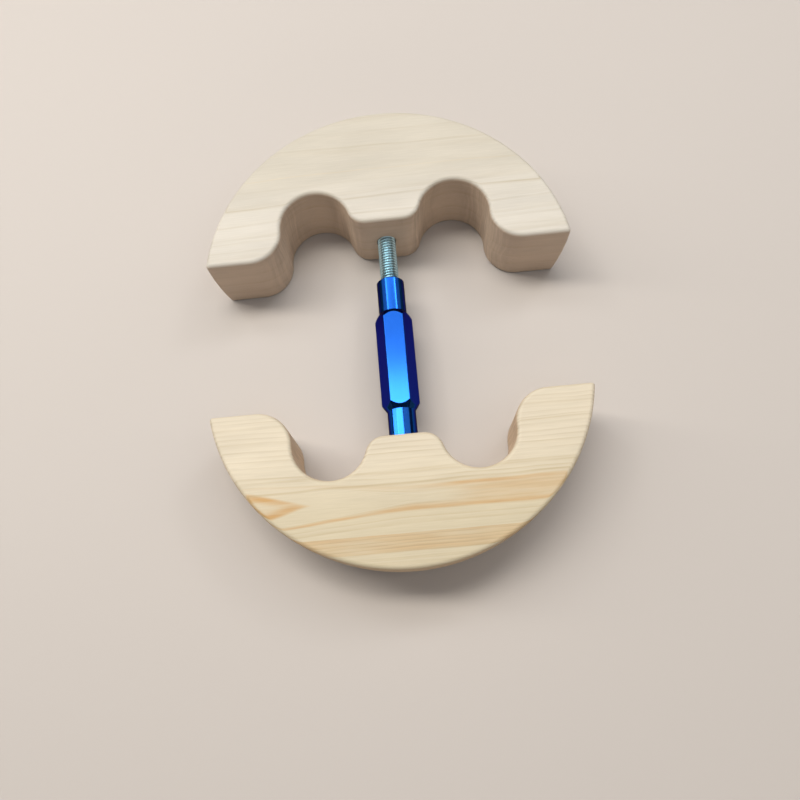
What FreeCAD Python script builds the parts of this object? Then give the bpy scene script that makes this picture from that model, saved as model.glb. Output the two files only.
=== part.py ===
import FreeCAD, Part
import math
import os

# Hat stretcher: two scalloped wooden blocks that a turnbuckle pushes apart.
# X runs across the blocks, Y along the turnbuckle with the rear block on +Y, and Z is up.
# The origin is on the surface that the blocks lie on, midway along the object at rest.
# All sizes are in millimetres.

# Wooden blocks. Both are cut from the same turned disc, which has a slightly barrelled rim.
block_radius = 78.0           # plan radius of the outer wall, which bears on the hat band
block_thickness = 30.0
crown_depth = 53.4            # from the lobe's flat face out to the crown of the outer wall
arm_reach = 13.9              # how far the two arms stand past the lobe's flat face
rim_upright = 6.0             # height of the upright band at the top of the outer wall
rim_inset = 2.6               # how far the outer wall has curved in at the underside
arm_tip_radius = 1.2          # softened corner between an arm's end and the outer wall
top_edge_radius = 1.8
under_edge_radius = 1.2

# Scalloped inner wall, a chain of tangent arcs from the lobe out to each arm.
lobe_flat_width = 15.4
lobe_corner_radius = 8.0
bay_radius = 14.9             # finger bay
bay_recess = 1.4              # how far the finger bay's axis lies behind the lobe's face
arm_corner_radius = 14.0

# Turnbuckle sleeve: a hexagonal bar turned down to a round collar at each end.
hex_across_flats = 14.0
hex_length = 44.5             # with its two turned tapers
hex_taper_length = 3.2
collar_diameter = 12.0
rear_collar_length = 15.2
front_collar_length = 13.55
collar_edge_chamfer = 0.4
bore_mouth_chamfer = 0.6
meeting_gap = 1.5             # between the two studs inside the sleeve, both wound fully in

# Threaded studs, as plain cylinders of their major diameter.
stud_diameter = 8.0
thread_pitch = 1.25
stud_embedded_length = 34.0   # length held in the wooden block
stud_end_chamfer = 0.8
screw_clearance = 0.05        # radial, between a stud and the bore that it runs in

# Socket that holds a stud in its block.
socket_drop = 1.2             # how far the socket is drilled below the middle of the thickness
socket_end_gap = 0.6          # between the stud's buried end and the drilled floor
socket_point_angle = 118.0    # of the drill's point
mouth_diameter = 8.6          # relieved mouth, which shows as a dark ring round the stud
mouth_depth = 2.5

# How far each end is wound out at rest.
closed_gap = 0.5              # from collar to lobe with the stud fully wound in
rear_turns_out = 16
front_turns_out = 0

# Sizes that follow from those above.
sleeve_length = front_collar_length + hex_length + rear_collar_length
rear_gap = closed_gap + rear_turns_out * thread_pitch
front_gap = closed_gap + front_turns_out * thread_pitch
lobe_spacing = front_gap + sleeve_length + rear_gap
sleeve_front_y = -lobe_spacing / 2 + front_gap
axis_height = block_thickness / 2 - socket_drop
bore_diameter = stud_diameter + 2 * screw_clearance
stud_engaged_length = (sleeve_length - meeting_gap) / 2
stud_length = stud_engaged_length + closed_gap + stud_embedded_length

ORIGIN = FreeCAD.Vector(0, 0, 0)
ACROSS = FreeCAD.Vector(1, 0, 0)
ALONG = FreeCAD.Vector(0, 1, 0)
UP = FreeCAD.Vector(0, 0, 1)


def line(start, end):
    return Part.LineSegment(FreeCAD.Vector(*start), FreeCAD.Vector(*end)).toShape()


def plan_arc(centre, radius, start_angle, end_angle):
    # an arc in the XY plane, from one angle to the other by way of the angle between them
    points = []
    for angle in (start_angle, (start_angle + end_angle) / 2, end_angle):
        x = centre[0] + radius * math.cos(angle)
        y = centre[1] + radius * math.sin(angle)
        points.append(FreeCAD.Vector(x, y, 0))
    return Part.Arc(*points).toShape()


def turned_disc():
    # the whole disc, whose rim is upright at the top and curves in towards the underside
    barrel_height = block_thickness - rim_upright
    barrel_radius = (barrel_height ** 2 + rim_inset ** 2) / (2 * rim_inset)
    barrel_angle = math.asin(barrel_height / barrel_radius)
    under_radius = block_radius - rim_inset
    middle = FreeCAD.Vector(
        block_radius - barrel_radius * (1 - math.cos(barrel_angle / 2)),
        0,
        barrel_height - barrel_radius * math.sin(barrel_angle / 2),
    )
    barrel = Part.Arc(
        FreeCAD.Vector(under_radius, 0, 0), middle, FreeCAD.Vector(block_radius, 0, barrel_height)
    ).toShape()
    section = Part.Wire([
        line((0, 0, 0), (under_radius, 0, 0)),
        barrel,
        line((block_radius, 0, barrel_height), (block_radius, 0, block_thickness)),
        line((block_radius, 0, block_thickness), (0, 0, block_thickness)),
        line((0, 0, block_thickness), (0, 0, 0)),
    ])
    disc = Part.Face(section).revolve(ORIGIN, UP, 360)
    disc.translate(FreeCAD.Vector(0, crown_depth - block_radius, 0))
    return disc


def scallop_cutter():
    # everything on the turnbuckle's side of the scalloped wall, as a prism through the block
    half_flat = lobe_flat_width / 2
    reach = lobe_corner_radius + bay_radius
    rise = bay_recess - lobe_corner_radius
    bay_x = half_flat + math.sqrt(reach ** 2 - rise ** 2)
    lobe_angle = math.atan2(rise, bay_x - half_flat)

    arm_y = arm_corner_radius - arm_reach
    arm_rise = arm_y - bay_recess
    arm_reach_out = arm_corner_radius + bay_radius
    arm_x = bay_x + math.sqrt(arm_reach_out ** 2 - arm_rise ** 2)
    arm_angle = math.atan2(arm_rise, arm_x - bay_x)

    far = 2 * block_radius
    half = [
        line((0, 0, 0), (half_flat, 0, 0)),
        plan_arc((half_flat, lobe_corner_radius), lobe_corner_radius, -math.pi / 2, lobe_angle),
        plan_arc((bay_x, bay_recess), bay_radius, math.pi + lobe_angle, arm_angle),
        plan_arc((arm_x, arm_y), arm_corner_radius, math.pi + arm_angle, 1.5 * math.pi),
        line((arm_x, -arm_reach, 0), (far, -arm_reach, 0)),
        line((far, -arm_reach, 0), (far, -far, 0)),
        line((far, -far, 0), (0, -far, 0)),
    ]
    other_half = [edge.mirror(ORIGIN, ACROSS) for edge in half]
    outline = Part.Wire(Part.sortEdges(half + other_half)[0])
    cutter = Part.Face(outline).extrude(UP * (3 * block_thickness))
    cutter.translate(UP * -block_thickness)
    return cutter


def lies_at(edge, height):
    box = edge.BoundBox
    return abs(box.ZMin - height) < 1e-4 and abs(box.ZMax - height) < 1e-4


def rises_at_arm_end(edge):
    box = edge.BoundBox
    return box.ZLength > block_thickness / 2 and abs(box.YMin + arm_reach) < 1e-4 and box.YLength < 1e-4


def turned_about_axis(outline):
    # a solid turned about the Y axis from (radius, y) points that start and end on the axis
    points = [FreeCAD.Vector(radius, y, 0) for radius, y in outline]
    return Part.Face(Part.makePolygon(points + points[:1])).revolve(ORIGIN, ALONG, 360)


def drilled_socket():
    # the relieved mouth, the plain bore and the cone that the drill's point leaves
    radius = bore_diameter / 2
    depth = stud_embedded_length + socket_end_gap
    point = radius / math.tan(math.radians(socket_point_angle / 2))
    socket = turned_about_axis([
        (0, 0),
        (mouth_diameter / 2, 0),
        (mouth_diameter / 2, mouth_depth),
        (radius, mouth_depth),
        (radius, depth),
        (0, depth + point),
    ])
    socket.translate(UP * axis_height)
    return socket


def wooden_block():
    # the block as it lies at the rear, with its lobe's face on y = 0 and its crown on +Y
    block = turned_disc().cut(scallop_cutter())
    block = block.makeFillet(arm_tip_radius, [e for e in block.Edges if rises_at_arm_end(e)])
    block = block.makeFillet(top_edge_radius, [e for e in block.Edges if lies_at(e, block_thickness)])
    block = block.makeFillet(under_edge_radius, [e for e in block.Edges if lies_at(e, 0)])
    return block.cut(drilled_socket())


def stud():
    # the stud as it lies at the rear, fully wound in, with the lobe's face on y = 0
    radius = stud_diameter / 2
    start = -closed_gap - stud_engaged_length
    end = stud_embedded_length
    rod = turned_about_axis([
        (0, start),
        (radius - stud_end_chamfer, start),
        (radius, start + stud_end_chamfer),
        (radius, end - stud_end_chamfer),
        (radius - stud_end_chamfer, end),
        (0, end),
    ])
    rod.translate(UP * axis_height)
    return rod


def adjuster_sleeve():
    # a hexagonal bar, kept inside one turned outline and bored through from end to end
    collar_radius = collar_diameter / 2
    corner_radius = hex_across_flats / math.sqrt(3)
    first_shoulder = front_collar_length
    last_shoulder = sleeve_length - rear_collar_length
    bar = turned_about_axis([
        (0, 0),
        (collar_radius - collar_edge_chamfer, 0),
        (collar_radius, collar_edge_chamfer),
        (collar_radius, first_shoulder),
        (corner_radius, first_shoulder + hex_taper_length),
        (corner_radius, last_shoulder - hex_taper_length),
        (collar_radius, last_shoulder),
        (collar_radius, sleeve_length - collar_edge_chamfer),
        (collar_radius - collar_edge_chamfer, sleeve_length),
        (0, sleeve_length),
    ])
    corners = []
    for index in range(7):
        angle = math.radians(60 * index)
        corners.append(FreeCAD.Vector(corner_radius * math.cos(angle), 0, corner_radius * math.sin(angle)))
    hexagon = Part.Face(Part.makePolygon(corners)).extrude(ALONG * sleeve_length)

    bore_radius = bore_diameter / 2
    bore = turned_about_axis([
        (0, 0),
        (bore_radius + bore_mouth_chamfer, 0),
        (bore_radius, bore_mouth_chamfer),
        (bore_radius, sleeve_length - bore_mouth_chamfer),
        (bore_radius + bore_mouth_chamfer, sleeve_length),
        (0, sleeve_length),
    ])
    sleeve = bar.common(hexagon).cut(bore)
    sleeve.translate(FreeCAD.Vector(0, sleeve_front_y, axis_height))
    return sleeve


def placed_at_rear(shape):
    placed = shape.copy()
    placed.translate(ALONG * (lobe_spacing / 2))
    return placed


def placed_at_front(shape):
    placed = placed_at_rear(shape)
    placed.rotate(ORIGIN, UP, 180)
    return placed


os.makedirs("parts", exist_ok=True)
block = wooden_block()
rod = stud()
parts = {
    "rear_block": placed_at_rear(block),
    "front_block": placed_at_front(block),
    "rear_stud": placed_at_rear(rod),
    "front_stud": placed_at_front(rod),
    "adjuster_sleeve": adjuster_sleeve(),
}
for name, shape in parts.items():
    shape.exportStep("parts/" + name + ".step")
    box = shape.BoundBox
    print(name, shape.isValid(), len(shape.Solids), round(shape.Volume, 1),
          [round(value, 2) for value in (box.XMin, box.XMax, box.YMin, box.YMax, box.ZMin, box.ZMax)])
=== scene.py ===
import math
import bmesh
import bpy
from mathutils import Matrix, Vector


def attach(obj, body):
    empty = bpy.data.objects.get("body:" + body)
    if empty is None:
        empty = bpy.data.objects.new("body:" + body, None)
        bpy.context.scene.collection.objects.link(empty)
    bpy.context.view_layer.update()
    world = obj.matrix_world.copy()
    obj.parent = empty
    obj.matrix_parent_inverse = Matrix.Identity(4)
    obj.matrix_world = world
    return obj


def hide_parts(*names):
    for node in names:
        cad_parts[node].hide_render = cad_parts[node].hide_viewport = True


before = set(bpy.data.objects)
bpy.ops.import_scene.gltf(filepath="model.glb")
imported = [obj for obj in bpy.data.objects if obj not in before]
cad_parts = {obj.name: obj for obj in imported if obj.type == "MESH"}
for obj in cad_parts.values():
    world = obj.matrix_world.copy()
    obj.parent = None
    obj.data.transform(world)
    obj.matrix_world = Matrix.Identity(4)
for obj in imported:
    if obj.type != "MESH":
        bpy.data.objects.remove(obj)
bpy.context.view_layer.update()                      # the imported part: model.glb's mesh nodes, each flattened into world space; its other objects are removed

scene = bpy.context.scene
mm = 0.001                             # everything below is written in millimetres
axisHeight = 13.8                      # of the turnbuckle above the table
blockTop = 30.0                        # of both blocks' top faces
samePlace = 1e-7                       # metres; points closer than this count as one


def linearColour(hexColour):
    parts = [int(hexColour[i:i + 2], 16) / 255 for i in (0, 2, 4)]
    return [p / 12.92 if p <= 0.04045 else ((p + 0.055) / 1.055) ** 2.4 for p in parts] + [1.0]


def addNode(tree, kind, values=None, links=None, **settings):
    node = tree.nodes.new("ShaderNode" + kind)
    for setting, value in settings.items():
        setattr(node, setting, value)
    for socket, value in (values or {}).items():
        node.inputs[socket].default_value = value
    for socket, source in (links or {}).items():
        tree.links.new(source, node.inputs[socket])
    return node


def startMaterial(name):
    material = bpy.data.materials.new(name)
    material.use_nodes = True
    material.node_tree.nodes.clear()
    return material, material.node_tree


def setRamp(node, stops):
    ramp = node.color_ramp
    while len(ramp.elements) < len(stops):
        ramp.elements.new(0.5)
    for element, (position, shade) in zip(ramp.elements, stops):
        element.position = position
        element.color = (shade, shade, shade, 1)


def finishPiece(name, bm, material, sharpAngle):
    bmesh.ops.recalc_face_normals(bm, faces=bm.faces[:])
    mesh = bpy.data.meshes.new(name)
    bm.to_mesh(mesh)
    bm.free()
    mesh.shade_smooth()
    mesh.set_sharp_from_angle(angle=math.radians(sharpAngle))
    mesh.materials.append(material)
    piece = bpy.data.objects.new(name, mesh)
    scene.collection.objects.link(piece)
    return piece


# Pine, sanded and left bare: a matt, pale softwood whose rings end in darker late wood.
# Each board's tree runs along X, and the tree's middle, the pith, lies above the board.
rearPine = {
    "name": "sandedPinePale",
    "pale": "c1bcb1", "deep": "b9b3a5", "deepFrom": 52, "deepTo": 74,
    "late": "a89c82", "lateStrength": 0.4, "lateOnWalls": 0.45,
    "pith": (0, 72, 92),
    "ringStart": 62.0,                 # the rings are counted from this radius
    "ringWidth": 8.4, "ringOffset": -0.6, "unevenness": 0.5,
    "dip": (-80, 20, 0.4),             # how far the pith dips, between two places along X
    "waver": 1.5,
    "crowded": (200, 210, 0),          # off this board, so no narrow years
    "amber": "c9b48a", "amberStops": [(0.0, 0.0), (1.0, 0.0)], "amberFill": (30, 60, 0.0),
    "upperFade": 0.0,
    # late wood that shows clearly on the top face: its place along Y, and how dark it is
    "marks": [(38.7, 0.3), (43.2, 0.3), (51.6, 0.5), (59.2, 0.75),
              (67.4, 0.2), (84.4, 0.5), (91.8, 0.3), (97.0, 0.2)],
    "marksFrom": 30, "marksTo": 104,
    "wedgeTip": -300, "wedgeSlope": 0.0,    # off this board, so no flame
}
frontPine = {
    "name": "sandedPineWarm",
    "pale": "c7bda8", "deep": "beb398", "deepFrom": -50, "deepTo": -82,
    "late": "a5926c", "lateStrength": 0.55, "lateOnWalls": 0.6,
    "pith": (0, -73, 52.5),
    "ringStart": 22.5,
    "ringWidth": 2.45, "ringOffset": -0.9, "unevenness": 1.3,
    "dip": (-80, 5, 1.7),
    "waver": 0.8,
    "crowded": (-86.5, -93.5, 1.9),    # narrow years between two places along Y, and how many more
    "amber": "b58f58",
    # resinous wood by how far the squared radius is beyond the first ring's: pale inside, amber edge
    "amberStops": [(0.0, 0.0), (0.52, 0.0), (0.585, 0.75), (0.62, 0.85), (0.66, 0.1), (0.72, 0.0)],
    "amberFill": (8, 30, 0.5),         # the pale inside fills with amber towards the right
    "upperFade": 0.75,                 # the edge on the +Y side has little amber towards the left
    "marks": [(-97.2, 0.25), (-95.4, 0.35), (-66.9, 0.8), (-62.2, 0.45), (-46.2, 0.5), (-39.8, 0.4)],
    "marksFrom": -102, "marksTo": -28,
    "wedgeTip": -38.5, "wedgeSlope": 0.3,   # a flame whose tip points to the right
}
# What both boards share. Sizes are in mm along the board, across it and up.
grain = {
    "waverSize": (55, 16, 16), "waverDetail": 2.0, "waverRoughness": 0.45, "waverAcross": 3, "waverUp": 0.3,
    "unevenScale": 0.55,               # ring widths change over about two rings
    "lateStops": [(0.0, 0.0), (0.35, 0.04), (0.68, 0.4), (0.86, 1.0), (0.95, 0.85), (1.0, 0.0)],
    "ringDarkness": (0.2, 0.9), "crowdDarkness": 0.8, "crowdAmber": 0.55,
    "patchSize": (28, 2.2, 2.2), "patchSpan": (0.3, 0.65), "patchShade": (0.35, 1.0),
    "markRise": 1.1, "markFall": 0.4,       # a clear ring darkens over the first and ends over the second
    "amberSpan": 80.0,                 # of squared radius, both ways from the first ring
    "fillEdge": (24.0, 14.0),          # the fill fades out between these, in squared radius
    "upperEdge": (0.5, 3.0), "leftEdge": (22.0, 0.0),     # where the upper edge's amber fades
    "flameEdge": (-0.6, 1.0),          # soft edge of the flame, in mm of depth inside the wedge
    "flameInside": (1.4, 4.4), "flamePale": 0.8,          # and where its pale inside begins and is full
    # a wall's normal points up by less than the first and a full wall's by less than the second; the walls' tint
    # is partly browner routed wood and partly painted shade with a painted warm bounce
    "wallSpan": (0.75, 0.2), "wallBrownAndPaintedShade": "fde9da",
    "acrossSpan": (0.25, 0.8),         # streaks begin and are full where the normal points so far along X
    "fibres": {"size": (12, 0.5, 0.5), "detail": 3.0, "roughness": 0.6, "shade": (0.955, 1.045)},
    "streaks": {"size": (9, 1.1, 25), "detail": 3.0, "roughness": 0.6, "shade": (0.78, 1.12)},
    "clouds": {"size": (40, 9, 9), "detail": 2.0, "roughness": 0.5, "shade": (0.95, 1.04)},
    "noiseSpan": (0.3, 0.7),           # most of a noise texture's values
    "bumpStrength": 0.35, "fibreDepth": 0.04,
    "roughEarly": 0.62, "roughLate": 0.5,
}


def pineMaterial(wood):
    material, tree = startMaterial(wood["name"])
    place = addNode(tree, "TexCoord")
    # millimetres, counted from the pith
    fromPith = addNode(tree, "Mapping", {"Location": [-c for c in wood["pith"]], "Scale": (1000, 1000, 1000)},
                       {"Vector": place.outputs["Object"]})
    # rings waver slowly along the board
    stretched = addNode(tree, "VectorMath", {1: [1 / size for size in grain["waverSize"]]},
                        {0: fromPith.outputs[0]}, operation="MULTIPLY")
    slowNoise = addNode(tree, "TexNoise", {"Scale": 1.0, "Detail": grain["waverDetail"],
                                           "Roughness": grain["waverRoughness"]},
                        {"Vector": stretched.outputs[0]})
    centred = addNode(tree, "VectorMath", {1: (0.5, 0.5, 0.5)}, {0: slowNoise.outputs["Color"]},
                      operation="SUBTRACT")
    reach = (0, grain["waverAcross"] * wood["waver"], grain["waverUp"] * wood["waver"])
    waver = addNode(tree, "VectorMath", {1: reach}, {0: centred.outputs[0], 2: fromPith.outputs[0]},
                    operation="MULTIPLY_ADD")
    axes = addNode(tree, "SeparateXYZ", links={0: waver.outputs[0]})
    alongX, acrossY = axes.outputs["X"], axes.outputs["Y"]

    # the radius from the pith, which dips
    left, right, dip = wood["dip"]
    pithDip = addNode(tree, "MapRange", {"From Min": left, "From Max": right, "To Min": dip, "To Max": 0.0},
                      {"Value": alongX}, interpolation_type="SMOOTHSTEP")
    height = addNode(tree, "Math", links={0: axes.outputs["Z"], 1: pithDip.outputs[0]}, operation="ADD")
    acrossSquared = addNode(tree, "Math", links={0: acrossY, 1: acrossY}, operation="MULTIPLY")
    radiusSquared = addNode(tree, "Math",
                            links={0: height.outputs[0], 1: height.outputs[0], 2: acrossSquared.outputs[0]},
                            operation="MULTIPLY_ADD")
    beyondStart = addNode(tree, "Math", {1: wood["ringStart"] ** 2}, {0: radiusSquared.outputs[0]},
                          operation="SUBTRACT")
    aboveNought = addNode(tree, "Math", {1: 0.0}, {0: beyondStart.outputs[0]}, operation="MAXIMUM")
    root = addNode(tree, "Math", links={0: aboveNought.outputs[0]}, operation="SQRT")
    evenRings = addNode(tree, "Math", {1: 1 / wood["ringWidth"], 2: wood["ringOffset"]}, {0: root.outputs[0]},
                        operation="MULTIPLY_ADD")

    # where the ring through each point meets the top face, so that clear rings keep their circles
    pithY, topFromPith = wood["pith"][1], blockTop - wood["pith"][2]
    plain = addNode(tree, "SeparateXYZ", links={0: fromPith.outputs[0]})
    depthPart = addNode(tree, "Math", {2: -topFromPith ** 2}, {0: plain.outputs["Z"], 1: plain.outputs["Z"]},
                        operation="MULTIPLY_ADD")
    outSquared = addNode(tree, "Math", links={0: acrossSquared.outputs[0], 1: depthPart.outputs[0]},
                         operation="ADD")
    outAbove = addNode(tree, "Math", {1: 0.0}, {0: outSquared.outputs[0]}, operation="MAXIMUM")
    outward = addNode(tree, "Math", links={0: outAbove.outputs[0]}, operation="SQRT")
    side = addNode(tree, "Math", links={0: acrossY}, operation="SIGN")
    atTop = addNode(tree, "Math", links={0: outward.outputs[0], 1: side.outputs[0]}, operation="MULTIPLY")

    # no two rings have the same width or darkness, and narrow years crowd in one place
    crowdedFrom, crowdedTo, more = wood["crowded"]
    crowding = addNode(tree, "MapRange", {"From Min": crowdedFrom - pithY, "From Max": crowdedTo - pithY},
                       {"Value": atTop.outputs[0]})
    rings = addNode(tree, "Math", {1: more}, {0: crowding.outputs[0], 2: evenRings.outputs[0]},
                    operation="MULTIPLY_ADD")
    uneven = addNode(tree, "TexNoise", {"Scale": grain["unevenScale"], "Detail": 1.0}, {"W": rings.outputs[0]},
                     noise_dimensions="1D")
    shifted = addNode(tree, "Math", {1: wood["unevenness"]}, {0: uneven.outputs[0], 2: rings.outputs[0]},
                      operation="MULTIPLY_ADD")
    ringPart = addNode(tree, "Math", links={0: shifted.outputs[0]}, operation="FRACT")
    ringNumber = addNode(tree, "Math", links={0: shifted.outputs[0]}, operation="FLOOR")
    lateWood = addNode(tree, "ValToRGB", links={0: ringPart.outputs[0]})
    setRamp(lateWood, grain["lateStops"])
    ringMark = addNode(tree, "TexWhiteNoise", links={"W": ringNumber.outputs[0]}, noise_dimensions="1D")
    faint, dark = grain["ringDarkness"]
    ringDarkness = addNode(tree, "MapRange", {"To Min": faint, "To Max": dark},
                           {"Value": ringMark.outputs["Value"]})
    # 1 where the crowding is neither 0 nor 1
    inCrowd = addNode(tree, "Math", {1: 0.5, 2: 0.49}, {0: crowding.outputs[0]}, operation="COMPARE")
    crowdDarkness = addNode(tree, "Math", {1: grain["crowdDarkness"]},
                            {0: inCrowd.outputs[0], 2: ringDarkness.outputs[0]}, operation="MULTIPLY_ADD")
    late = addNode(tree, "Math", links={0: lateWood.outputs[0], 1: crowdDarkness.outputs[0]},
                   operation="MULTIPLY")
    # each ring comes and goes along its length
    patchPlace = addNode(tree, "VectorMath", {1: [1 / size for size in grain["patchSize"]]},
                         {0: fromPith.outputs[0]}, operation="MULTIPLY")
    patches = addNode(tree, "TexNoise", {"Scale": 1.0, "Detail": 2.0}, {"Vector": patchPlace.outputs[0]})
    (low, high), (faint, dark) = grain["patchSpan"], grain["patchShade"]
    patchAmount = addNode(tree, "MapRange", {"From Min": low, "From Max": high, "To Min": faint, "To Max": dark},
                          {"Value": patches.outputs[0]})
    latePatch = addNode(tree, "Math", links={0: late.outputs[0], 1: patchAmount.outputs[0]},
                        operation="MULTIPLY")

    # routed and turned walls are browner than the sanded faces, and their rings show more; the walls' darker,
    # pinker tint is also painted shade and painted bounce light
    facing = addNode(tree, "SeparateXYZ", links={0: place.outputs["Normal"]})
    upright = addNode(tree, "Math", links={0: facing.outputs["Z"]}, operation="ABSOLUTE")
    notWall, fullWall = grain["wallSpan"]
    wallAmount = addNode(tree, "MapRange", {"From Min": notWall, "From Max": fullWall},
                         {"Value": upright.outputs[0]})
    ringStrength = addNode(tree, "MapRange", {"To Min": wood["lateStrength"], "To Max": wood["lateOnWalls"]},
                           {"Value": wallAmount.outputs[0]})
    lateRings = addNode(tree, "Math", links={0: latePatch.outputs[0], 1: ringStrength.outputs[0]},
                        operation="MULTIPLY")

    # the clearest rings
    markPlace = addNode(tree, "MapRange",
                        {"From Min": wood["marksFrom"] - pithY, "From Max": wood["marksTo"] - pithY},
                        {"Value": atTop.outputs[0]})
    marks = addNode(tree, "ValToRGB", links={0: markPlace.outputs[0]})
    span = wood["marksTo"] - wood["marksFrom"]
    stops = []
    for at, darkness in wood["marks"]:
        centre = (at - wood["marksFrom"]) / span
        stops += [(centre - grain["markRise"] / span, 0.0), (centre, darkness),
                  (centre + grain["markFall"] / span, 0.0)]
    setRamp(marks, stops)
    markPatch = addNode(tree, "Math", links={0: marks.outputs[0], 1: patchAmount.outputs[0]},
                        operation="MULTIPLY")
    lateAmount = addNode(tree, "Math", links={0: lateRings.outputs[0], 1: markPatch.outputs[0]},
                         operation="MAXIMUM")
    # the ground colour goes from pale to deep across the board, between deepFrom and deepTo along Y
    board = addNode(tree, "MapRange",
                    {"From Min": wood["deepFrom"] - pithY, "From Max": wood["deepTo"] - pithY},
                    {"Value": acrossY}, interpolation_type="SMOOTHSTEP")
    ground = addNode(tree, "Mix", {6: linearColour(wood["pale"]), 7: linearColour(wood["deep"])},
                     {0: board.outputs[0]}, data_type="RGBA")

    # amber, resinous wood near the first ring
    amberPlace = addNode(tree, "MapRange", {"From Min": -grain["amberSpan"], "From Max": grain["amberSpan"]},
                         {"Value": beyondStart.outputs[0]})
    amberRamp = addNode(tree, "ValToRGB", links={0: amberPlace.outputs[0]})
    setRamp(amberRamp, wood["amberStops"])
    fillFrom, fillTo, fillStrength = wood["amberFill"]
    fillAlong = addNode(tree, "MapRange", {"From Min": fillFrom, "From Max": fillTo, "To Max": fillStrength},
                        {"Value": alongX}, interpolation_type="SMOOTHSTEP")
    outOfFill, fullFill = grain["fillEdge"]
    insideGap = addNode(tree, "MapRange", {"From Min": outOfFill, "From Max": fullFill},
                        {"Value": beyondStart.outputs[0]})
    fill = addNode(tree, "Math", links={0: fillAlong.outputs[0], 1: insideGap.outputs[0]},
                   operation="MULTIPLY")
    crowdAmber = addNode(tree, "Math", {1: grain["crowdAmber"]}, {0: inCrowd.outputs[0]},
                         operation="MULTIPLY")
    (upperFrom, upperTo), (leftFrom, leftTo) = grain["upperEdge"], grain["leftEdge"]
    upperSide = addNode(tree, "MapRange", {"From Min": upperFrom, "From Max": upperTo}, {"Value": acrossY})
    fadeLeft = addNode(tree, "MapRange", {"From Min": leftFrom, "From Max": leftTo, "To Max": wood["upperFade"]},
                       {"Value": alongX}, interpolation_type="SMOOTHSTEP")
    fade = addNode(tree, "Math", links={0: upperSide.outputs[0], 1: fadeLeft.outputs[0]},
                   operation="MULTIPLY")
    kept = addNode(tree, "Math", {0: 1.0}, {1: fade.outputs[0]}, operation="SUBTRACT")
    edgeAmber = addNode(tree, "Math", links={0: amberRamp.outputs[0], 1: kept.outputs[0]},
                        operation="MULTIPLY")
    amberOrFill = addNode(tree, "Math", links={0: edgeAmber.outputs[0], 1: fill.outputs[0]},
                          operation="MAXIMUM")
    amberEdges = addNode(tree, "Math", links={0: amberOrFill.outputs[0], 1: crowdAmber.outputs[0]},
                         operation="MAXIMUM")

    # the flame: a wedge of amber, pale again inside
    behindTip = addNode(tree, "Math", {0: wood["wedgeTip"]}, {1: alongX}, operation="SUBTRACT")
    insideWedge = addNode(tree, "Math", {1: wood["wedgeSlope"]}, {0: behindTip.outputs[0]},
                          operation="MULTIPLY")
    wedgeDepth = addNode(tree, "Math", links={0: insideWedge.outputs[0], 1: outward.outputs[0]},
                         operation="SUBTRACT")
    (edgeFrom, edgeTo), (paleFrom, paleTo) = grain["flameEdge"], grain["flameInside"]
    outerWedge = addNode(tree, "MapRange", {"From Min": edgeFrom, "From Max": edgeTo},
                         {"Value": wedgeDepth.outputs[0]}, interpolation_type="SMOOTHSTEP")
    innerWedge = addNode(tree, "MapRange", {"From Min": paleFrom, "From Max": paleTo,
                                            "To Max": grain["flamePale"]},
                         {"Value": wedgeDepth.outputs[0]}, interpolation_type="SMOOTHSTEP")
    flame = addNode(tree, "Math", links={0: outerWedge.outputs[0], 1: innerWedge.outputs[0]},
                    operation="SUBTRACT")
    amberAmount = addNode(tree, "Math", links={0: amberEdges.outputs[0], 1: flame.outputs[0]},
                          operation="MAXIMUM")
    amberPatch = addNode(tree, "Math", links={0: amberAmount.outputs[0], 1: patchAmount.outputs[0]},
                         operation="MULTIPLY")
    resinous = addNode(tree, "Mix", {7: linearColour(wood["amber"])},
                       {0: amberPatch.outputs[0], 6: ground.outputs[2]}, data_type="RGBA")
    colour = addNode(tree, "Mix", {7: linearColour(wood["late"])},
                     {0: lateAmount.outputs[0], 6: resinous.outputs[2]}, data_type="RGBA")

    # fibres along X, upright streaks on walls that cut across them, and soft clouds
    noises, shades = {}, {}
    low, high = grain["noiseSpan"]
    for layer, source in (("fibres", fromPith), ("streaks", waver), ("clouds", fromPith)):
        look = grain[layer]
        darkest, lightest = look["shade"]
        scaled = addNode(tree, "VectorMath", {1: [1 / size for size in look["size"]]},
                         {0: source.outputs[0]}, operation="MULTIPLY")
        noises[layer] = addNode(tree, "TexNoise",
                                {"Scale": 1.0, "Detail": look["detail"], "Roughness": look["roughness"]},
                                {"Vector": scaled.outputs[0]})
        shades[layer] = addNode(tree, "MapRange", {"From Min": low, "From Max": high,
                                                   "To Min": darkest, "To Max": lightest},
                                {"Value": noises[layer].outputs[0]})
    sideways = addNode(tree, "Math", links={0: facing.outputs["X"]}, operation="ABSOLUTE")
    noStreaks, fullStreaks = grain["acrossSpan"]
    acrossFibres = addNode(tree, "MapRange", {"From Min": noStreaks, "From Max": fullStreaks},
                           {"Value": sideways.outputs[0]})
    fibreOrStreak = addNode(tree, "Mix", links={0: acrossFibres.outputs[0], 2: shades["fibres"].outputs[0],
                                                3: shades["streaks"].outputs[0]}, data_type="FLOAT")
    shade = addNode(tree, "Math", links={0: fibreOrStreak.outputs[0], 1: shades["clouds"].outputs[0]},
                    operation="MULTIPLY")
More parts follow.
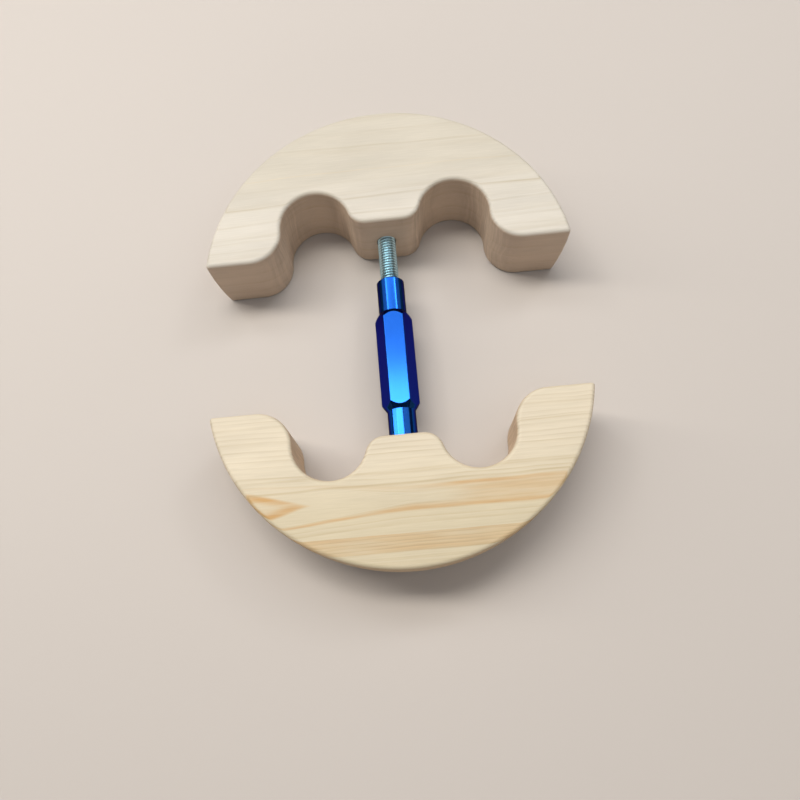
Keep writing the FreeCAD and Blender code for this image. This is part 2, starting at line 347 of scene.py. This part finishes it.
    # walls tinted darker and pinker: partly their browner wood, partly painted shade and painted bounce light
    wallBrownAndPaintedShade = addNode(tree, "Mix", {6: (1, 1, 1, 1), 7: linearColour(grain["wallBrownAndPaintedShade"])},
                       {0: wallAmount.outputs[0]}, data_type="RGBA")
    tinted = addNode(tree, "VectorMath", links={0: colour.outputs[2], 1: wallBrownAndPaintedShade.outputs[2]},
                     operation="MULTIPLY")
    shaded = addNode(tree, "VectorMath", links={0: tinted.outputs[0], "Scale": shade.outputs[0]},
                     operation="SCALE")
    bump = addNode(tree, "Bump", {"Strength": grain["bumpStrength"], "Distance": grain["fibreDepth"] * mm},
                   {"Height": noises["fibres"].outputs[0]})
    roughness = addNode(tree, "MapRange", {"To Min": grain["roughEarly"], "To Max": grain["roughLate"]},
                        {"Value": late.outputs[0]})
    surface = addNode(tree, "BsdfPrincipled", {"IOR": 1.5},
                      {"Base Color": shaded.outputs[0], "Roughness": roughness.outputs[0],
                       "Normal": bump.outputs[0]})
    addNode(tree, "OutputMaterial", links={"Surface": surface.outputs[0]})
    return material


for wood, node in ((rearPine, "rear_block"), (frontPine, "front_block")):
    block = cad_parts[node]
    block.data.materials.clear()
    block.data.materials.append(pineMaterial(wood))
print("pine made")


# Anodised aluminium: drawn bar under a clear blue oxide, so its highlights are blue and it
# darkens towards its edges. The drawing lines run along the bar.
sleeveFinish = {
    "name": "blueAnodisedAluminium", "colour": "114898", "edge": "242a36",
    "roughness": 0.16, "roughnessSpread": 0.03, "coat": 0.08, "coatRoughness": 0.2,
    "lineSize": (0.25, 9, 0.25), "lineStrength": 0.12, "lineDepth": 0.01,
}


def anodisedMaterial(finish):
    material, tree = startMaterial(finish["name"])
    place = addNode(tree, "TexCoord")
    drawn = addNode(tree, "VectorMath", {1: [1 / (size * mm) for size in finish["lineSize"]]},
                    {0: place.outputs["Object"]}, operation="MULTIPLY")
    lines = addNode(tree, "TexNoise", {"Scale": 1.0, "Detail": 2.0}, {"Vector": drawn.outputs[0]})
    bump = addNode(tree, "Bump", {"Strength": finish["lineStrength"], "Distance": finish["lineDepth"] * mm},
                   {"Height": lines.outputs[0]})
    middle, spread = finish["roughness"], finish["roughnessSpread"]
    roughness = addNode(tree, "MapRange", {"To Min": middle - spread, "To Max": middle + spread},
                        {"Value": lines.outputs[0]})
    surface = addNode(tree, "BsdfPrincipled",
                      {"Base Color": linearColour(finish["colour"]), "Metallic": 1.0,
                       "Specular Tint": linearColour(finish["edge"]),
                       "Coat Weight": finish["coat"], "Coat Roughness": finish["coatRoughness"]},
                      {"Roughness": roughness.outputs[0], "Normal": bump.outputs[0]})
    addNode(tree, "OutputMaterial", links={"Surface": surface.outputs[0]})
    return material


# The adjuster sleeve is turned from hexagonal bar and bored right through.
sleeve = {
    "front": -46.625, "rear": 26.625,
    "hexagonFront": -33.075, "hexagonRear": 11.425,
    "collarRadius": 6.0, "edgeChamfer": 0.4,
    "flats": 6, "flatDistance": 7.0,
    "cornerRadius": 8.05,              # the bar's corners are slightly rounded
    "taper": 3.2,                      # up to a sharp corner
    "boreRadius": 4.05, "mouthChamfer": 0.6,
    "steps": 96,
    "edgeSoftening": 0.12,
    "sharpAngle": 5,
}


def makeSleeve(sleeve, material):
    bm = bmesh.new()
    front, rear, z = sleeve["front"], sleeve["rear"], axisHeight
    bore, collar, chamfer = sleeve["boreRadius"], sleeve["collarRadius"], sleeve["edgeChamfer"]
    mouth, corner = bore + sleeve["mouthChamfer"], sleeve["cornerRadius"]
    sharpCorner = sleeve["flatDistance"] / math.cos(math.pi / sleeve["flats"])
    taper = sleeve["taper"] * (corner - collar) / (sharpCorner - collar)
    profile = [
        (front + sleeve["mouthChamfer"], bore), (front, mouth),
        (front, collar - chamfer), (front + chamfer, collar),
        (sleeve["hexagonFront"], collar), (sleeve["hexagonFront"] + taper, corner),
        (sleeve["hexagonRear"] - taper, corner), (sleeve["hexagonRear"], collar),
        (rear - chamfer, collar), (rear, collar - chamfer),
        (rear, mouth), (rear - sleeve["mouthChamfer"], bore),
    ]
    points = [bm.verts.new((r * mm, y * mm, z * mm)) for y, r in profile]
    for a, b in zip(points, points[1:] + points[:1]):
        bm.edges.new((a, b))
    bmesh.ops.spin(bm, geom=bm.verts[:] + bm.edges[:], cent=(0, 0, z * mm), axis=(0, 1, 0), dvec=(0, 0, 0),
                   angle=2 * math.pi, steps=sleeve["steps"], use_merge=True)
    bmesh.ops.remove_doubles(bm, verts=bm.verts[:], dist=samePlace)
    for k in range(sleeve["flats"]):
        turn = math.radians(90 + 360 / sleeve["flats"] * k)
        out = Vector((math.cos(turn), 0, math.sin(turn)))
        at = Vector((0, 0, z * mm)) + out * sleeve["flatDistance"] * mm
        bmesh.ops.bisect_plane(bm, geom=bm.verts[:] + bm.edges[:] + bm.faces[:], dist=samePlace,
                               plane_co=at, plane_no=out, clear_outer=True)
        bmesh.ops.holes_fill(bm, edges=[e for e in bm.edges if e.is_boundary], sides=0)
    bmesh.ops.recalc_face_normals(bm, faces=bm.faces[:])
    flats = [f for f in bm.faces if len(f.verts) > 8]     # all other faces have fewer corners
    rims = list({e for f in flats for e in f.edges})
    bmesh.ops.bevel(bm, geom=rims, offset=sleeve["edgeSoftening"] * mm, segments=2, profile=0.5,
                    affect="EDGES", material=-1)
    piece = finishPiece("hexagon_sleeve", bm, material, sleeve["sharpAngle"])
    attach(piece, "sleeve")
    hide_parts("adjuster_sleeve")
    return piece


makeSleeve(sleeve, anodisedMaterial(sleeveFinish))
print("sleeve made")


# Zinc plate on a rolled steel thread: a pale, slightly blue satin metal; painted shade darkens its roots.
studFinish = {
    "name": "zincPlatedSteel", "colour": "c4e2eb", "dull": "a9c8d3", "edge": "1c1c1d",
    "roughness": 0.28, "smoother": 0.06, "rougher": 0.08,
    "patchScale": 700.0,               # patches of plating about 1.4 mm across
    # painted shade: the colour darkens from the crest radius down to the root radius
    "rootRadius": 3.3, "crestRadius": 3.85, "paintedRootShade": 0.55,
}


def zincMaterial(finish):
    material, tree = startMaterial(finish["name"])
    place = addNode(tree, "TexCoord")
    patches = addNode(tree, "TexNoise", {"Scale": finish["patchScale"], "Detail": 3.0},
                      {"Vector": place.outputs["Object"]})
    tint = addNode(tree, "Mix", {6: linearColour(finish["colour"]), 7: linearColour(finish["dull"])},
                   {0: patches.outputs[0]}, data_type="RGBA")
    # painted shade in the thread's roots, by distance from the axis
    fromAxis = addNode(tree, "Mapping", {"Location": (0, 0, -axisHeight), "Scale": (1000, 0, 1000)},
                       {"Vector": place.outputs["Object"]})
    radius = addNode(tree, "VectorMath", links={0: fromAxis.outputs[0]}, operation="LENGTH")
    shade = addNode(tree, "MapRange", {"From Min": finish["rootRadius"], "From Max": finish["crestRadius"],
                                       "To Min": finish["paintedRootShade"], "To Max": 1.0},
                    {"Value": radius.outputs["Value"]}, interpolation_type="SMOOTHSTEP")
    shaded = addNode(tree, "VectorMath", links={0: tint.outputs[2], "Scale": shade.outputs[0]},
                     operation="SCALE")
    roughness = addNode(tree, "MapRange", {"To Min": finish["roughness"] - finish["smoother"],
                                           "To Max": finish["roughness"] + finish["rougher"]},
                        {"Value": patches.outputs[0]})
    surface = addNode(tree, "BsdfPrincipled", {"Metallic": 1.0, "Specular Tint": linearColour(finish["edge"])},
                      {"Base Color": shaded.outputs[0], "Roughness": roughness.outputs[0]})
    addNode(tree, "OutputMaterial", links={"Surface": surface.outputs[0]})
    return material


# Both studs have a rolled M8 thread, right-hand at the rear and left-hand at the front.
stud = {
    "pitch": 1.25, "stepsPerTurn": 40,
    # one thread, as share of the pitch and radius; the crest and root are rounded
    "thread": [(0.0, 3.25), (0.08, 3.29), (0.2, 3.45), (0.34, 3.78), (0.42, 3.93), (0.5, 3.99),
               (0.58, 3.93), (0.66, 3.78), (0.8, 3.45), (0.92, 3.29), (1.0, 3.25)],
    "endRadius": 3.16,                 # each end is chamfered at 45 degrees down to this
    "weld": 0.002,
    "sharpAngle": 40,
    # where it starts and ends along Y, and its hand
    "ends": {"rear": (10.75, 81.125, 1), "front": (-81.125, -10.75, -1)},
}


def makeStud(end, material):
    low, high, hand = stud["ends"][end]
    pitch, steps, z = stud["pitch"], stud["stepsPerTurn"], axisHeight * mm
    turns = math.ceil((high - low) / pitch) + 2
    bm = bmesh.new()
    points = [bm.verts.new((r * mm, (low - pitch + part * pitch) * mm, z)) for part, r in stud["thread"]]
    for a, b in zip(points, points[1:]):
        bm.edges.new((a, b))
    bmesh.ops.spin(bm, geom=bm.verts[:] + bm.edges[:], cent=(0, 0, z), axis=(0, hand, 0),
                   dvec=(0, pitch / steps * mm, 0), angle=2 * math.pi, steps=steps)
    made = 1
    while made < turns:                # one turn, then two, four and so on
        copied = bmesh.ops.duplicate(bm, geom=bm.verts[:] + bm.edges[:] + bm.faces[:])["geom"]
        bmesh.ops.translate(bm, verts=[g for g in copied if isinstance(g, bmesh.types.BMVert)],
                            vec=(0, made * pitch * mm, 0))
        made *= 2
    bmesh.ops.remove_doubles(bm, verts=bm.verts[:], dist=stud["weld"] * mm)
    for y, out in ((low, -1), (high, 1)):
        bmesh.ops.bisect_plane(bm, geom=bm.verts[:] + bm.edges[:] + bm.faces[:], dist=samePlace,
                               plane_co=(0, y * mm, z), plane_no=(0, out, 0), clear_outer=True)
        cut = [e for e in bm.edges if e.is_boundary and abs(e.verts[0].co.y - y * mm) < 10 * samePlace]
        bmesh.ops.holes_fill(bm, edges=cut, sides=0)
    for v in bm.verts:
        inward = min(v.co.y / mm - low, high - v.co.y / mm)
        away = Vector((v.co.x, 0, v.co.z - z))
        limit = (stud["endRadius"] + max(inward, 0)) * mm
        if away.length > limit:
            v.co = Vector((0, v.co.y, z)) + away.normalized() * limit
    piece = finishPiece(end + "_threaded_rod", bm, material, stud["sharpAngle"])
    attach(piece, end + "_rod")
    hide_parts(end + "_stud")
    return piece


zinc = zincMaterial(studFinish)
makeStud("rear", zinc)
makeStud("front", zinc)
print("studs made")


# The floor is pale matt paper with a slight tooth. It lies just under the blocks.
floorFinish = {
    "name": "paleMattPaper", "colour": "b9b3ad", "roughness": 0.8,
    "toothScale": 900.0, "toothStrength": 0.1, "toothDepth": 0.1,
    "size": 4000.0, "height": -0.03, "squares": 8,
}

bpy.ops.mesh.primitive_grid_add(x_subdivisions=floorFinish["squares"], y_subdivisions=floorFinish["squares"],
                                size=floorFinish["size"] * mm, location=(0, 0, floorFinish["height"] * mm))
floor = bpy.context.object
floor.name = "floor"
material, tree = startMaterial(floorFinish["name"])
place = addNode(tree, "TexCoord")
tooth = addNode(tree, "TexNoise", {"Scale": floorFinish["toothScale"], "Detail": 2.0},
                {"Vector": place.outputs["Object"]})
bump = addNode(tree, "Bump", {"Strength": floorFinish["toothStrength"],
                              "Distance": floorFinish["toothDepth"] * mm}, {"Height": tooth.outputs[0]})
surface = addNode(tree, "BsdfPrincipled",
                  {"Base Color": linearColour(floorFinish["colour"]), "Roughness": floorFinish["roughness"]},
                  {"Normal": bump.outputs[0]})
addNode(tree, "OutputMaterial", links={"Surface": surface.outputs[0]})
floor.data.materials.append(material)


# Soft lights on a dome round the object. Swing is the angle from upright towards +X, and tilt
# leans it towards +Y.
lights = {
    "keyOverhead": {"swing": -16, "tilt": 16.5, "size": (1040, 240), "radiance": 13.5, "colour": "fff8ef"},
    "keyLeft": {"swing": -57, "tilt": 16, "size": (800, 115), "radiance": 13.0, "colour": "fff8ef"},
    "fillRight": {"swing": 38, "tilt": 15, "size": (1000, 300), "radiance": 1.4, "colour": "fff8ef"},
    "right": {"swing": 42, "tilt": -6, "size": (900, 300), "radiance": 1.8, "colour": "fff8ef"},
    "backSoftbox": {"swing": 2, "tilt": 27.3, "size": (1150, 190), "radiance": 2.3, "colour": "f6f8ff"},
    "backHigh": {"swing": 5, "tilt": 35.2, "size": (1500, 130), "radiance": 4.5, "colour": "f6f8ff"},
    "tubeLeft": {"swing": -36, "tilt": 31, "size": (170, 300), "radiance": 9.0, "colour": "ffffff"},
    "tubeRight": {"swing": 38, "tilt": 31, "size": (170, 300), "radiance": 9.0, "colour": "ffffff"},
    "backLeft": {"swing": -60, "tilt": 30, "size": (700, 250), "radiance": 1.0, "colour": "f6f8ff"},
    "backRight": {"swing": 62, "tilt": 30, "size": (700, 250), "radiance": 0.8, "colour": "f6f8ff"},
    "frontOverhead": {"swing": 6, "tilt": -24, "size": (1500, 400), "radiance": 1.0, "colour": "f6f8ff"},
    "frontLow": {"swing": 0, "tilt": -70, "size": (2000, 340), "radiance": 1.2, "colour": "fff4ee"},
}
dome = {"centre": (0, -10, 18), "radius": 1200.0, "airColour": "ffffff", "airStrength": 0.07}

for name, light in lights.items():
    data = bpy.data.lights.new(name, "AREA")
    data.shape = "RECTANGLE"
    data.size, data.size_y = light["size"][0] * mm, light["size"][1] * mm
    data.energy = light["radiance"] * math.pi * data.size * data.size_y
    data.color = linearColour(light["colour"])[:3]
    lamp = bpy.data.objects.new(name, data)
    swing, tilt = math.radians(light["swing"]), math.radians(light["tilt"])
    turned = Matrix.Rotation(swing, 3, "Y") @ Matrix.Rotation(-tilt, 3, "X")
    lamp.location = (Vector(dome["centre"]) + turned @ Vector((0, 0, dome["radius"]))) * mm
    lamp.rotation_euler = turned.to_euler()
    lamp.visible_camera = False
    scene.collection.objects.link(lamp)

world = bpy.data.worlds.new("studioAir")
scene.world = world
world.use_nodes = True
air = world.node_tree.nodes["Background"]
air.inputs["Color"].default_value = linearColour(dome["airColour"])
air.inputs["Strength"].default_value = dome["airStrength"]
scene.view_settings.view_transform = "Standard"

# the photograph's viewing angle: place, turn in degrees, lens in mm and shift of the frame
view = {"at": (2.09, -120.93, 275.23), "turn": (12.08, 2.824, -4.667),
        "lens": 29.273, "sensorWidth": 36, "shift": (0.008854, 0.10615), "clipStart": 10}
cameraData = bpy.data.cameras.new("camera")
cameraData.sensor_width = view["sensorWidth"]
cameraData.lens = view["lens"]
cameraData.shift_x, cameraData.shift_y = view["shift"]
cameraData.clip_start = view["clipStart"] * mm
camera = bpy.data.objects.new("camera", cameraData)
camera.location = Vector(view["at"]) * mm
camera.rotation_euler = [math.radians(a) for a in view["turn"]]
scene.collection.objects.link(camera)
bpy.context.scene.camera = camera
print("stage set")
